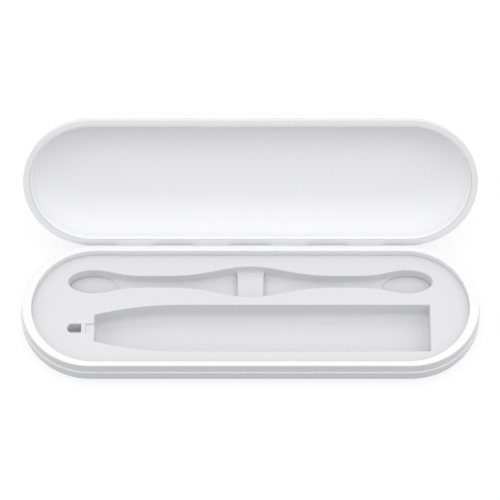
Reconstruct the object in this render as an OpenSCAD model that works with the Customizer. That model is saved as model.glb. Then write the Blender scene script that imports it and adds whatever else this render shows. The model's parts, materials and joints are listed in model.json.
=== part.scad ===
// Travel case for an electric toothbrush: a long round-ended clamshell.
// The base holds a moulded tray with a well for the handle, a groove for two
// brush heads and a slot for the drive shaft. The lid turns on a steel pin at
// the back and is drawn open, leaning on its stop.
// X runs along the case, +Y points to the hinge, Z is up, and the origin is
// the centre of the flat underside.

/* [Case outline] */
// Overall length of the lower shell
case_l = 240; // [225:1:260]
// Overall depth of the lower shell, front to back
case_d = 73.4; // [72:0.2:80]
// Height of the lower shell, from the table to its ledge
shell_h = 13; // [12.6:0.1:16]
// Radius of the lower shell's bottom edge
bottom_r = 9.2; // [7:0.1:10.5]
// Width of the ledge where the neck stands back from the lower shell
ledge_w = 0.7; // [0.4:0.1:1]
// Wall and floor of the lower shell
shell_wall = 2; // [1.6:0.1:2.2]

/* [Base rim] */
// Height of the neck band above the ledge
neck_h = 6.4; // [5.8:0.1:8]
// Width of the rim's flat top along the straight sides
rim_side_w = 3; // [2.8:0.1:3.6]
// Width of the rim's flat top at the round ends
rim_end_w = 4.9; // [3.6:0.1:6]
// How far the rim's spigot reaches down inside the lower shell
spigot_h = 2.6; // [2:0.1:3]
// Width of the shelf that carries the tray
shelf_w = 1.8; // [1.2:0.1:2]
// Thickness of the shelf and its screw ears
shelf_t = 2.2; // [2:0.1:2.4]
// Rounding of the rim's upper edges
rim_edge_r = 0.5; // [0.2:0.1:0.8]

/* [Tray] */
// Drop from the rim's top to the tray's top
tray_drop = 4.1; // [3.6:0.1:4.6]
// Thickness of the tray's top plate
tray_t = 1.8; // [1.4:0.1:2]
// Walls and floors of the wells under the plate
well_wall = 1.5; // [1.2:0.1:1.8]

/* [Handle well] */
// Distance from the case's right-hand end to the well's square end
well_end = 26.2; // [24:0.2:32]
// Distance from the rim's mouth to the well's front side
well_front = 8.1; // [7.6:0.1:8.8]
// Width of the well along its straight part
well_w = 27.6; // [24:0.2:28.4]
// Length of the straight part, from the square end
well_straight_l = 133.8; // [120:0.5:145]
// Radius of the long arcs that narrow the left-hand end
well_taper_r = 175; // [160:5:260]
// How far right of the straight part's end the centres of the long arcs lie
well_taper_lead = 4; // [2:0.5:8]
// Rounding between the well's sides and its floor
well_fillet = 4; // [3.2:0.2:5]
// Gap between the well's underside and the floor of the shell
well_floor_gap = 0.3; // [0.2:0.1:0.6]

/* [Brush head groove] */
// Distance from the rim's mouth to the groove's centre line
groove_back = 16.2; // [15.7:0.1:16.7]
// Depth of the groove
groove_depth = 6.4; // [5.8:0.1:7]
// Width of the groove at its middle
groove_mid_w = 18.3; // [16:0.1:19]
// Width of the groove at its necks
groove_neck_w = 6.8; // [6:0.1:9]
// Distance of the necks from the middle
groove_neck_x = 52; // [48:1:58]
// Depth of the groove beside the rest in the middle
groove_mid_depth = 8.8; // [8:0.1:9.4]
// Length of the oval pocket for a brush head
pocket_l = 26.8; // [22:0.1:27]
// Width of the oval pocket
pocket_w = 13.8; // [12:0.1:15]
// Distance from the case's end to the pocket's centre
pocket_end = 37.8; // [37:0.1:42]
// Depth of the oval pocket, down to the pad's seat
pocket_depth = 6.7; // [6.5:0.1:7.3]
// Thickness of the soft pad in the pocket
pad_t = 1.5; // [1.2:0.1:1.7]
// Length of the rest that stands in the middle of the groove
rest_l = 14.5; // [10:0.5:18]
// Depth of the rest's top below the tray
rest_depth = 5.5; // [4.5:0.1:6]

/* [Shaft slot] */
// Distance from the case's left-hand end to the slot
slot_end = 24.4; // [23:0.2:28]
// Length of the slot for the shaft's tip
slot_l = 7.3; // [6:0.1:8]
// Width of the slot
slot_w = 5.2; // [4.8:0.1:6]
// Depth of the slot
slot_depth = 7.5; // [6:0.1:8]
// Length of the shallow recess between the slot and the well
notch_l = 4.6; // [3:0.1:5]
// Width of the land between the slot and the recess
land_w = 2.2; // [1.5:0.1:3]
// Depth of the shallow recess
notch_depth = 1; // [0.6:0.1:1.3]

/* [Lid] */
// Height of the lid's upright edge above its rim
lid_edge_h = 0.5; // [0.3:0.1:1.5]
// Radius where the lid's side begins to round over
lid_side_r = 11; // [9:0.5:13]
// Radius where the lid's side runs out into its flat top
lid_crown_r = 32; // [28:1:38]
// Wall of the lid shell
lid_wall = 1.6; // [1.2:0.1:1.8]
// Width of the lid's flat rim
lid_rim_w = 3.4; // [3:0.1:3.8]
// Thickness of the lid's rim
lid_rim_t = 1.6; // [1.2:0.1:2]
// Width of the liner's sloping lip
lip_w = 1; // [0.8:0.1:1.4]
// Height of the liner's sloping lip
lip_h = 1.4; // [0.8:0.1:1.8]
// Width of the flat land outside the liner's lip
lip_land = 0.3; // [0.2:0.1:0.5]
// Wall of the liner
liner_wall = 1.1; // [0.8:0.1:1.3]
// Angle up the lid's side at which it changes to the larger radius
lid_turn = 50; // [45:1:56]
// Angle between the lid's closed and open positions
lid_open = 124.5; // [60:0.5:125]
// Gap between the two rims when the case is closed
seam_gap = 0.3; // [0.2:0.05:0.5]

/* [Hinge] */
// How far the row of knuckles runs past the straight side at each end
hinge_past = 7.5; // [7:0.1:9]
// Number of knuckles, an odd number so that the base has both ends
knuckles = 9; // [5:2:13]
// Radius of the knuckles
knuckle_r = 1.9; // [1.7:0.05:1.95]
// Radius of the hinge pin
pin_r = 0.8; // [0.6:0.05:0.9]
// Height of the hinge axis above the ledge
hinge_rise = 2.8; // [2.6:0.05:3]
// Distance of the hinge axis behind the neck
hinge_out = 0.3; // [0.2:0.05:0.4]
// Length of the plug that closes each end of the pin's bore
plug_l = 3; // [2:0.5:5]

/* [Magnets and screws] */
// Length of a closing magnet
magnet_l = 12; // [8:0.5:16]
// Thickness of a closing magnet, front to back
magnet_t = 1.6; // [1.2:0.1:1.7]
// Height of a closing magnet
magnet_h = 2.6; // [2:0.1:3]
// Distance of the magnets from the middle of the case
magnet_x = 48; // [30:1:60]
// Skin of plastic between a magnet and the rim's face
magnet_skin = 0.7; // [0.5:0.1:0.9]
// Radius of the screws that hold the rim to the shell
screw_r = 1.1; // [0.9:0.05:1.2]
// Length of the screws under their heads
screw_l = 7; // [5:0.5:8]
// Radius of the screw heads
screw_head_r = 2; // [1.8:0.1:2.2]
// Height of the screw heads
screw_head_h = 1.1; // [0.9:0.1:1.2]
// Radius of the posts that the screws bite into
post_r = 2.8; // [2.5:0.1:3.2]
// Distance of the screws inside the rim's mouth
screw_in = 7.2; // [6.6:0.1:7.8]
// Angle of the front screws from the case's middle line
screw_front_angle = 38; // [34:1:44]
// Angle of the back screws from the case's middle line
screw_back_angle = 31; // [26:1:36]
// Plastic around the seat of a screw head
ear_wall = 1.4; // [1:0.1:1.8]

/* [Clearances] */
// Gap between the tray and the rim around it
tray_gap = 0.2; // [0.1:0.05:0.3]
// Gap between parts that are pressed or bonded together
seat_gap = 0.1; // [0.05:0.05:0.15]
// Running clearance between the pin and its bores
pin_gap = 0.05; // [0.02:0.01:0.08]
// Clearance between parts that turn past each other
turn_gap = 0.3; // [0.2:0.05:0.35]

/* [Hidden] */
$fn = 72;

white = "#f1f1f3";
tray_white = "#e4e4e6";
pad_white = "#dcdcde";
steel = "#b8babd";
magnet_grey = "#8d9094";

// A cut runs this far past the face that it opens
past = 1;
// Steps in the arc of a profile, in a small edge rounding and in half an oval's end
arc_steps = 10;
edge_steps = 3;
// Length of a step along the outline of the brush head groove
groove_step = 2.6;
// Power that draws out the groove's necks and shortens its swells
groove_power = 2;
// Segments in the long arcs of the handle well
long_arc_fn = 360;
// Thicknesses of the lid's rim that its arms run up the lid's back
arm_steps = 3;

// Heights
neck_z = shell_h;
rim_z = shell_h + neck_h;
tray_z = rim_z - tray_drop;
plate_z = tray_z - tray_t;
shelf_z = plate_z - shelf_t;
lid_z = rim_z + seam_gap;

// Plan radii at the round ends, and the places of their centres
shell_r = case_d/2;
end_x = case_l/2 - shell_r;
rim_r = shell_r - ledge_w;
spigot_r = shell_r - shell_wall - seat_gap;
mouth_r = rim_r - rim_side_w;
mouth_x = case_l/2 - ledge_w - rim_end_w - mouth_r;
lid_mouth_r = rim_r - lid_rim_w;
lip_r = lid_mouth_r - seat_gap;
lip_x = lip_r - lip_land;
dish_r = lip_x - lip_w;

// Handle well and the slot to the left of it
well_half = well_w/2;
well_y = well_front + well_half - mouth_r;
well_right_x = case_l/2 - well_end;
slot_left_x = slot_end - case_l/2;
slot_right_x = slot_left_x + slot_l;
slot_round_x = slot_left_x + slot_w/2;
notch_left_x = slot_right_x + land_w;
well_left_x = notch_left_x + notch_l;
well_l = well_right_x - well_left_x;
well_taper_x = well_right_x - well_straight_l;
well_floor_z = shell_wall + well_floor_gap + well_wall;

// Brush head groove
groove_y = mouth_r - groove_back;
groove_z = tray_z - groove_depth;
groove_mid_z = tray_z - groove_mid_depth;
pocket_x = case_l/2 - pocket_end;
pocket_z = tray_z - pocket_depth;

// Hinge
hinge_y = rim_r + hinge_out;
hinge_z = neck_z + hinge_rise;
hinge_l = 2*(end_x + hinge_past);
knuckle_pitch = hinge_l/knuckles;
bore_r = pin_r + pin_gap;

// Lid and the dish inside it
lid_h = lid_edge_h + crown_rise(lid_side_r, lid_crown_r);
liner_drop = lid_wall + liner_wall + seat_gap;
dish_rise = lid_h - liner_drop - lip_h;
dish_side_r = lid_side_r - lid_rim_w - seat_gap;
dish_crown_r = (dish_rise - dish_side_r*sin(lid_turn))/(1 - sin(lid_turn));

// Arm of a lid knuckle, seen along the pin: up outside the neck, then into the lid's back
arm_foot = lid_z - hinge_z;
arm_top = arm_foot + arm_steps*lid_rim_t;
arm_in = -hinge_out - lid_wall;
arm_pts = [[0, 0], [knuckle_r, 0], [knuckle_r, arm_foot + lid_rim_t], [arm_in/2, arm_top],
    [arm_in, arm_top], [arm_in, arm_foot], [0, arm_foot]];

// Magnets, and the slots and boss that hold them
magnet_y = -(rim_r + mouth_r)/2;
magnet_top = rim_z - magnet_skin;
magnet_slot_l = magnet_l + 2*seat_gap;
magnet_slot_t = magnet_t + 2*seat_gap;
magnet_boss_h = magnet_skin + magnet_h + 2*seat_gap;

// Screws
screw_ring_r = mouth_r - screw_in;
ear_r = screw_head_r + ear_wall;

// Rise of a side that rounds over with two arcs, from upright to level
function crown_rise(side_r, crown_r) = crown_r - (crown_r - side_r)*sin(lid_turn);

// Points of an arc, or its centre alone where it has no radius
function arc_pts(x, z, r, from, to, steps = arc_steps) = r == 0 ? [[x, z]]
    : [for (i = [0:steps]) let (a = from + (to - from)*i/steps) [x + r*cos(a), z + r*sin(a)]];

// Half profile of a bowl, solid from its axis, with rounded bottom and top edges
function bowl_pts(r, z_low, z_top, low_r, top_r = 0) = concat(
    [[0, z_low]],
    arc_pts(r - low_r, z_low + low_r, low_r, -90, 0),
    arc_pts(r - top_r, z_top - top_r, top_r, 0, 90, edge_steps),
    [[0, z_top]]);

// Half profile of a dome, solid from its axis, upright at its foot
function dome_pts(r, z, edge_h, side_r, crown_r) =
    let (x = r - side_r, z0 = z + edge_h, shift = crown_r - side_r)
    concat([[0, z]], edge_h > 0 ? [[r, z]] : [],
        arc_pts(x, z0, side_r, 0, lid_turn),
        arc_pts(x - shift*cos(lid_turn), z0 - shift*sin(lid_turn), crown_r, lid_turn, 90),
        [[0, z0 + crown_rise(side_r, crown_r)]]);

// A list without its first entry
function tail(list) = [for (i = [1:len(list) - 1]) list[i]];

// Half width of the groove at a distance from its middle: smooth between neck and swell
function ramp(t) = pow((1 - cos(180*t))/2, groove_power);
function between(low, high, t) = low + (high - low)*ramp(t);
function oval_half(x) = sqrt(max(0, 1 - pow((x - pocket_x)/(pocket_l/2), 2)));
function groove_half(x) =
    x < groove_neck_x ? between(groove_neck_w, groove_mid_w, 1 - x/groove_neck_x)/2
    : x < pocket_x ? between(groove_neck_w, pocket_w, (x - groove_neck_x)/(pocket_x - groove_neck_x))/2
    : pocket_w/2*oval_half(x);

// Distances along the groove: even steps to the pocket, then round its end
groove_n = ceil(pocket_x/groove_step);
groove_xs = concat([for (i = [0:groove_n - 1]) pocket_x*i/groove_n],
    [for (a = [0:90/arc_steps:90]) pocket_x + pocket_l/2*sin(a)]);
groove_last = len(groove_xs) - 1;

// A point of the groove's outline, moved outwards by a wall's growth
function grown(x, grow) = x < pocket_x ? [x, groove_half(x) + grow]
    : [x + grow*(x - pocket_x)/(pocket_l/2), groove_half(x) + grow*oval_half(x)];

// A half profile carried round both ends and along the straight sides
module pill(x) {
    for (side = [-1, 1]) translate([side*x, 0, 0]) rotate_extrude() children();
    rotate([90, 0, 90]) linear_extrude(2*x, center = true) {
        children();
        mirror([1, 0]) children();
    }
}

// Flat plate with a round-ended outline
module slab(x, r, z_low, z_top) {
    pill(x) translate([0, z_low]) square([r, z_top - z_low]);
}

// Bar with rounded bottom edges, solid across its whole width
module trough(half, length, z_low, z_top, low_r) {
    rotate([90, 0, 90]) linear_extrude(length) {
        polygon(bowl_pts(half, z_low, z_top, low_r));
        mirror([1, 0]) polygon(bowl_pts(half, z_low, z_top, low_r));
    }
}

// Keeps one side of the well inside its long arc, left of the arc's centre
module taper_side(side, grow, z_low, z_top) {
    centre_x = well_taper_x + well_taper_lead;
    centre_y = well_y + side*(well_half - sqrt(pow(well_taper_r, 2) - pow(well_taper_lead, 2)));
    translate([centre_x, centre_y, 0]) rotate_extrude($fn = long_arc_fn)
        polygon(bowl_pts(well_taper_r + grow, z_low, z_top, well_fillet + grow));
    translate([centre_x, well_y - well_w, z_low - past])
        cube([well_straight_l, 2*well_w, z_top - z_low + 2*past]);
}

// Well for the handle: arcs narrow the left end, and the sides round into the floor
module well_form(grow, z_top) {
    half = well_half + grow;
    low_r = well_fillet + grow;
    z_low = well_floor_z - grow;
    length = well_l + 2*grow;
    intersection() {
        translate([well_left_x - grow, well_y, 0]) trough(half, length, z_low, z_top, low_r);
        translate([well_left_x + well_l/2, well_y - half, 0]) rotate(90)
            trough(length/2, 2*half, z_low, z_top, low_r);
        taper_side(1, grow, z_low, z_top);
        taper_side(-1, grow, z_low, z_top);
    }
}

// Outline of the whole brush head groove, both sides of the middle
module groove_outline(grow) {
    upper = [for (x = groove_xs) grown(x, grow)];
    translate([0, groove_y]) polygon(concat(
        [for (i = [0:groove_last]) upper[i]],
        [for (i = [groove_last - 1:-1:0]) [upper[i][0], -upper[i][1]]],
        [for (i = [1:groove_last]) -upper[i]],
        [for (i = [groove_last - 1:-1:1]) [-upper[i][0], upper[i][1]]]));
}

// Outline of a pocket at the left, -1, or right, 1, end of the groove
module pocket_outline(side, grow) {
    step = 90/arc_steps;
    translate([0, groove_y]) polygon([for (a = [0:step:360 - step])
        [side*(pocket_x + (pocket_l/2 + grow)*cos(a)), (pocket_w/2 + grow)*sin(a)]]);
}

// Space that the brush heads take, or with a wall's growth the body around it
module groove_form(grow, z_top) {
    floor_z = groove_z - grow;
    mid_z = groove_mid_z - grow;
    oval_z = pocket_z - grow;
    translate([0, 0, floor_z]) linear_extrude(z_top - floor_z) groove_outline(grow);
    for (side = [-1, 1]) translate([0, 0, oval_z])
        linear_extrude(z_top - oval_z) pocket_outline(side, grow);
    // The floor falls towards the middle
    intersection() {
        translate([0, 0, mid_z]) linear_extrude(z_top - mid_z) groove_outline(grow);
        translate([0, groove_y + groove_mid_w, 0]) rotate([90, 0, 0]) linear_extrude(2*groove_mid_w)
            polygon([[-groove_neck_x, floor_z], [-rest_l/2, mid_z], [rest_l/2, mid_z],
                [groove_neck_x, floor_z], [groove_neck_x, z_top], [-groove_neck_x, z_top]]);
    }
}

// Slot for the shaft's tip, round at its left end and square at its right
module slot_form(grow, z_top) {
    half = slot_w/2 + grow;
    low_z = tray_z - slot_depth - grow;
    translate([slot_round_x, well_y, low_z]) linear_extrude(z_top - low_z) {
        circle(half);
        translate([0, -half]) square([slot_right_x - slot_round_x + grow, 2*half]);
    }
}

// Places knuckles seen along the pin: even ones belong to the base, odd ones to the lid
module knuckle_row(first, length) {
    for (i = [first:2:knuckles - 1])
        translate([-hinge_l/2 + (i + 0.5)*knuckle_pitch, hinge_y, hinge_z])
            rotate([90, 0, 90]) linear_extrude(length, center = true) children();
}

// A round bar on the hinge's axis
module on_hinge(x, length, r) {
    translate([x, hinge_y, hinge_z]) rotate([0, 90, 0]) cylinder(h = length, r = r, center = true);
}

// Everything of the lid is drawn closed, then turned open about the pin
module turn_open() {
    translate([0, hinge_y, hinge_z]) rotate([-lid_open, 0, 0])
        translate([0, -hinge_y, -hinge_z]) children();
}

// The four screws stand in the round ends, clear of the wells
module at_screws() {
    for (side = [-1, 1], angle = [-screw_front_angle, screw_back_angle])
        translate([side*mouth_x, 0, 0]) rotate(side > 0 ? angle : 180 - angle)
            translate([screw_ring_r, 0, 0]) children();
}

// Tongue that reaches from the rim's end wall to a screw
module screw_ear() {
    tongue_w = 2*screw_head_r + ear_wall;
    translate([0, 0, shelf_z - past]) linear_extrude(shelf_t + 2*past) {
        circle(ear_r);
        translate([0, -tongue_w/2]) square([screw_in, tongue_w]);
    }
}

module base_shell() {
    color(white) {
        difference() {
            pill(end_x) polygon(bowl_pts(shell_r, 0, shell_h, bottom_r, ledge_w/2));
            pill(end_x) polygon(bowl_pts(shell_r - shell_wall, shell_wall, shell_h + past,
                bottom_r - shell_wall));
        }
        // Posts for the rim's screws, sunk a little into the floor
        at_screws() translate([0, 0, shell_wall - seat_gap]) difference() {
            cylinder(h = shelf_z - shell_wall, r = post_r);
            translate([0, 0, shelf_z - shell_wall - screw_l])
                cylinder(h = screw_l + past, r = screw_r + seat_gap/2);
        }
    }
}

module base_rim() {
    knuckle_in = hinge_out + rim_side_w/2;
    color(white) difference() {
        union() {
            difference() {
                union() {
                    pill(end_x) polygon(bowl_pts(rim_r, neck_z, rim_z, 0, rim_edge_r));
                    slab(end_x, spigot_r, neck_z - spigot_h, neck_z + past);
                }
                slab(mouth_x, mouth_r, neck_z - spigot_h - past, rim_z + past);
            }
            // Shelf under the tray, and the ears that take the screws
            difference() {
                slab(mouth_x, mouth_r + past, shelf_z, plate_z);
                difference() {
                    slab(mouth_x, mouth_r - shelf_w, shelf_z - past, plate_z + past);
                    at_screws() screw_ear();
                }
            }
            // Knuckles of the base
            knuckle_row(0, knuckle_pitch - turn_gap) {
                circle(knuckle_r);
                translate([-knuckle_in, -knuckle_r]) square([knuckle_in, 2*knuckle_r]);
            }
        }
        // Room for the lid's knuckles
        knuckle_row(1, knuckle_pitch + turn_gap) circle(knuckle_r + turn_gap);
        // Bore for the pin and its plugs
        on_hinge(0, hinge_l + past, bore_r);
        // Holes and head seats for the screws
        at_screws() {
            translate([0, 0, shelf_z - past])
                cylinder(h = shelf_t + 2*past, r = screw_r + seat_gap);
            translate([0, 0, plate_z - screw_head_h - seat_gap])
                cylinder(h = screw_head_h + past, r = screw_head_r + seat_gap);
        }
        // Slots for the magnets, open at the bottom where the shell covers them
        for (side = [-1, 1]) translate([side*magnet_x, magnet_y, (neck_z + magnet_top)/2])
            cube([magnet_slot_l, magnet_slot_t, magnet_top - neck_z], center = true);
    }
}

module rim_screws() {
    color(steel) at_screws() translate([0, 0, plate_z - screw_head_h]) {
        cylinder(h = screw_head_h - seat_gap, r = screw_head_r);
        translate([0, 0, -screw_l]) cylinder(h = screw_l + screw_head_h/2, r = screw_r);
    }
}

module tray() {
    slot_body_w = slot_w + 2*well_wall;
    color(tray_white) {
        difference() {
            union() {
                slab(mouth_x, mouth_r - tray_gap, plate_z, tray_z);
                well_form(well_wall, tray_z);
                groove_form(well_wall, tray_z);
                slot_form(well_wall, tray_z);
                // Web that joins the slot's body to the well's
                translate([slot_right_x, well_y - slot_body_w/2, tray_z - slot_depth])
                    cube([well_left_x - slot_right_x, slot_body_w, slot_depth]);
            }
            well_form(0, tray_z + past);
            difference() {
                groove_form(0, tray_z + past);
                // Rest for the ends of the two brush heads
                translate([-rest_l/2, groove_y - groove_mid_w, tray_z - rest_depth - groove_mid_depth])
                    cube([rest_l, 2*groove_mid_w, groove_mid_depth]);
            }
            slot_form(0, tray_z + past);
            // Shallow recess between the slot and the well
            translate([notch_left_x, well_y - slot_w/2, tray_z - notch_depth])
                cube([notch_l + past, slot_w, notch_depth + past]);
        }
    }
}

module bristle_pad(side) {
    color(pad_white) translate([0, 0, pocket_z])
        linear_extrude(pad_t) pocket_outline(side, -seat_gap);
}
module bristle_pad_left() { bristle_pad(-1); }
module bristle_pad_right() { bristle_pad(1); }

module base_magnet(side) {
    color(magnet_grey) translate([side*magnet_x, magnet_y, magnet_top - magnet_h/2 - seat_gap])
        cube([magnet_l, magnet_t, magnet_h], center = true);
}
module base_magnet_left() { base_magnet(-1); }
module base_magnet_right() { base_magnet(1); }

module hinge_pin() {
    color(steel) on_hinge(0, hinge_l - 2*plug_l, pin_r);
}

module pin_plug(side) {
    color(white) on_hinge(side*(hinge_l - plug_l)/2, plug_l - seat_gap, pin_r + pin_gap/2);
}
module pin_plug_left() { pin_plug(-1); }
module pin_plug_right() { pin_plug(1); }

module lid_shell() {
    color(white) turn_open() difference() {
        union() {
            difference() {
                pill(end_x) polygon(dome_pts(rim_r, lid_z, lid_edge_h, lid_side_r, lid_crown_r));
                difference() {
                    pill(end_x) polygon(dome_pts(rim_r - lid_wall, lid_z - past, lid_edge_h + past,
                        lid_side_r - lid_wall, lid_crown_r - lid_wall));
                    // Flat rim, thicker where it holds a magnet
                    slab(end_x, rim_r, lid_z - past, lid_z + lid_rim_t);
                    for (side = [-1, 1])
                        translate([side*magnet_x, -rim_r + lid_rim_w/2, lid_z + magnet_boss_h/2])
                            cube([magnet_l + 2*lid_wall, lid_rim_w, magnet_boss_h], center = true);
                }
                slab(end_x, lid_mouth_r, lid_z - past, lid_z + lid_rim_t + past);
            }
            // Knuckles of the lid and the arms that carry them
            knuckle_row(1, knuckle_pitch - turn_gap) {
                circle(knuckle_r);
                polygon(arm_pts);
            }
        }
        on_hinge(0, hinge_l + past, bore_r);
        for (side = [-1, 1]) translate([side*magnet_x, magnet_y, lid_z + magnet_skin + magnet_h/2])
            cube([magnet_slot_l, magnet_slot_t, magnet_h + 2*seat_gap], center = true);
    }
}

module lid_liner() {
    color(white) turn_open() difference() {
        union() {
            pill(end_x) polygon(dome_pts(dish_r + liner_wall, lid_z, lip_h,
                dish_side_r + liner_wall, dish_crown_r + liner_wall));
            slab(end_x, lip_r, lid_z, lid_z + lid_rim_t);
        }
        // Hollow of the dish, with a sloping lip at its mouth
        pill(end_x) polygon(concat([[0, lid_z - past], [lip_x, lid_z - past], [lip_x, lid_z]],
            tail(dome_pts(dish_r, lid_z + lip_h, 0, dish_side_r, dish_crown_r))));
    }
}

module lid_magnet(side) {
    color(magnet_grey) turn_open()
        translate([side*magnet_x, magnet_y, lid_z + magnet_skin + magnet_h/2])
            cube([magnet_l, magnet_t, magnet_h], center = true);
}
module lid_magnet_left() { lid_magnet(-1); }
module lid_magnet_right() { lid_magnet(1); }

base_shell();
base_rim();
rim_screws();
tray();
bristle_pad_left();
bristle_pad_right();
base_magnet_left();
base_magnet_right();
hinge_pin();
pin_plug_left();
pin_plug_right();
lid_shell();
lid_liner();
lid_magnet_left();
lid_magnet_right();
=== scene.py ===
"""Travel case for an electric toothbrush, drawn open: finished surfaces, soft studio light and camera."""

import json
from math import cos, pi, radians, sin, sqrt, tan

import bmesh
import bpy
from bpy.props import FloatProperty, FloatVectorProperty, IntProperty, PointerProperty
from mathutils import Matrix, Vector


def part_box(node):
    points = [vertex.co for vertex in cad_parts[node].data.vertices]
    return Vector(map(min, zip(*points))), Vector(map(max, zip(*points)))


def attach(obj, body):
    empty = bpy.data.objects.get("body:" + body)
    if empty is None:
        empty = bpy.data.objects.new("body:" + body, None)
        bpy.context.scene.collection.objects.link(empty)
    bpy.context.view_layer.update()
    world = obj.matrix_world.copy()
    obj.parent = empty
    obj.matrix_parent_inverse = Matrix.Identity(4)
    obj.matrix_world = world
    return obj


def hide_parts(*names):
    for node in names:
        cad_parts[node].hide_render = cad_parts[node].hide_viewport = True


bl_info = {
    "name": "Toothbrush Travel Case",
    "version": (1, 0, 0),
    "blender": (4, 5, 0),
    "location": "View3D > Sidebar > Travel Case",
    "description": "Builds a hinged travel case with a moulded tray around its packed parts",
    "category": "Add Mesh",
}

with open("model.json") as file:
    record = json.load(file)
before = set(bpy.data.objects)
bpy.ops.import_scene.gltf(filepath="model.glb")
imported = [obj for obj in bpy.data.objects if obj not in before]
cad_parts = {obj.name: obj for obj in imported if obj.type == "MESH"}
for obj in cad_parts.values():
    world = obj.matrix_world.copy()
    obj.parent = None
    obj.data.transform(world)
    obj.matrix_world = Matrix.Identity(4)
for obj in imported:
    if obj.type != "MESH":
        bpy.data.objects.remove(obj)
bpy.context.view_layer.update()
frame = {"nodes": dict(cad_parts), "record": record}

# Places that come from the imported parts
SHELL_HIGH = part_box("base_shell")[1]
RIM_LOW, RIM_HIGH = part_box("base_rim")
TRAY_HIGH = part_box("tray")[1]
PAD_LOW, PAD_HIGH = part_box("bristle_pad_right")
HINGE_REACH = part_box("pin_plug_right")[1].x
MAGNET_LOW, MAGNET_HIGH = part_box("base_magnet_right")
HINGE = frame["record"]["behaviour"]["joints"][0]
HINGE_Y, HINGE_Z = HINGE["pos_m"][1:]
LID_OPEN = radians(-HINGE["range_deg"][0])

PIN = (0, HINGE_Y, HINGE_Z)
MAGNET_SIZE = MAGNET_HIGH - MAGNET_LOW
MAGNET_MIDDLE = (MAGNET_HIGH + MAGNET_LOW)/2

CASE_R = SHELL_HIGH.y
END_X = SHELL_HIGH.x - CASE_R
LEDGE_Z = SHELL_HIGH.z
RIM_R = RIM_HIGH.x - END_X
RIM_Z = RIM_HIGH.z
TRAY_Z = TRAY_HIGH.z
TRAY_R = TRAY_HIGH.y
TRAY_X = TRAY_HIGH.x - TRAY_R
POCKET_X = (PAD_LOW.x + PAD_HIGH.x)/2

# Far enough past a face for a cut to open it cleanly
PAST = 0.001
# Points closer than this are one point
SAME = 1e-6
# The picture's white, for colour sockets
WHITE = (1, 1, 1, 1)
# Steps round an end of the case, through a quarter of an oval and along a half of the groove
END_STEPS = 64
OVAL_STEPS = 18
GROOVE_STEPS = 60
# Cosine past which a sharp corner moves out no further
SHARPEST = 0.4


def length(name, text, default):
    """A property for a length in metres."""
    return FloatProperty(name=name, description=text, default=default, min=0.0, precision=5, unit="LENGTH")


def angle(name, text, degrees):
    """A property for an angle, given in degrees."""
    return FloatProperty(name=name, description=text, default=radians(degrees), subtype="ANGLE",
                         unit="ROTATION")


def number(name, text, default):
    """A property for a plain number."""
    return FloatProperty(name=name, description=text, default=default)


def linear(code):
    """Linear colour of an sRGB hex value."""
    parts = [int(code[i:i + 2], 16)/255 for i in (1, 3, 5)]
    return [c/12.92 if c <= 0.04045 else ((c + 0.055)/1.055)**2.4 for c in parts]


def colour(name, text, code):
    """A property for a colour, given as an sRGB hex value."""
    return FloatVectorProperty(name=name, description=text, default=linear(code), size=3, min=0.0, max=1.0,
                               subtype="COLOR")


class CaseSizes(bpy.types.PropertyGroup):
    """Sizes of the base's outer parts."""
    wall: length("Wall", "Wall and floor of the lower shell", 0.002)
    bottom_r: length("Bottom edge", "Radius of the lower shell's bottom edge", 0.0092)
    ledge_r: length("Ledge edge", "Rounding of the ledge's outer edge", 0.00035)
    rim_side_w: length("Rim side", "Width of the rim's top along the straight sides", 0.003)
    rim_end_w: length("Rim end", "Width of the rim's top at the round ends", 0.0049)
    rim_edge_r: length("Rim edge", "Rounding of the rim's upper edges", 0.0005)
    shelf_w: length("Shelf", "Width of the shelf that carries the tray", 0.0018)
    shelf_t: length("Shelf thickness", "Thickness of the shelf and its ears", 0.0022)
    seat: length("Seat", "Gap between parts that are pressed together", 0.0001)


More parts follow.
